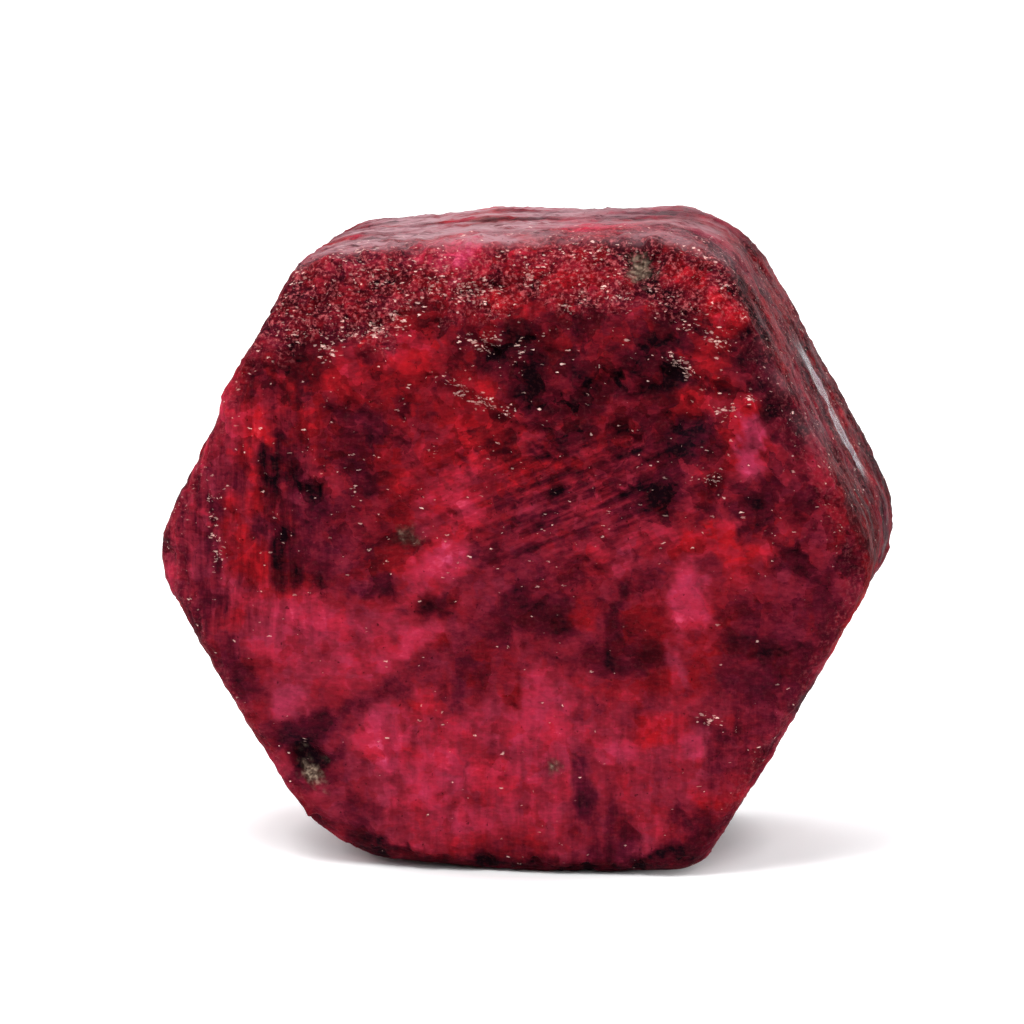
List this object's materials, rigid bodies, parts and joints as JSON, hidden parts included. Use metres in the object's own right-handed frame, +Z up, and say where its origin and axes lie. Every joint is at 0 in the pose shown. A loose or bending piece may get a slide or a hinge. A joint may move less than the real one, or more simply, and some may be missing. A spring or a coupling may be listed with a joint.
{
  "type": "raw ruby crystal",
  "caption": "Raw ruby crystal: a short, worn hexagonal prism that rests on one of its flat prism faces, for display or set dressing.",
  "frame": {"origin": "on the resting face, below the middle of the crystal's box", "axes": "+Z up from the resting prism face; +Y along the c-axis, from the hexagonal front end to the back end; +X across the corners, to the right as seen from the front"},
  "size_m": [0.0604, 0.028, 0.0534],
  "materials": {
    "ruby": "rough raw corundum, dark red with pink and near-black zones"
  },
  "bodies": {
    "root": {"ruby_crystal": "ruby"}
  },
  "joints": []
}
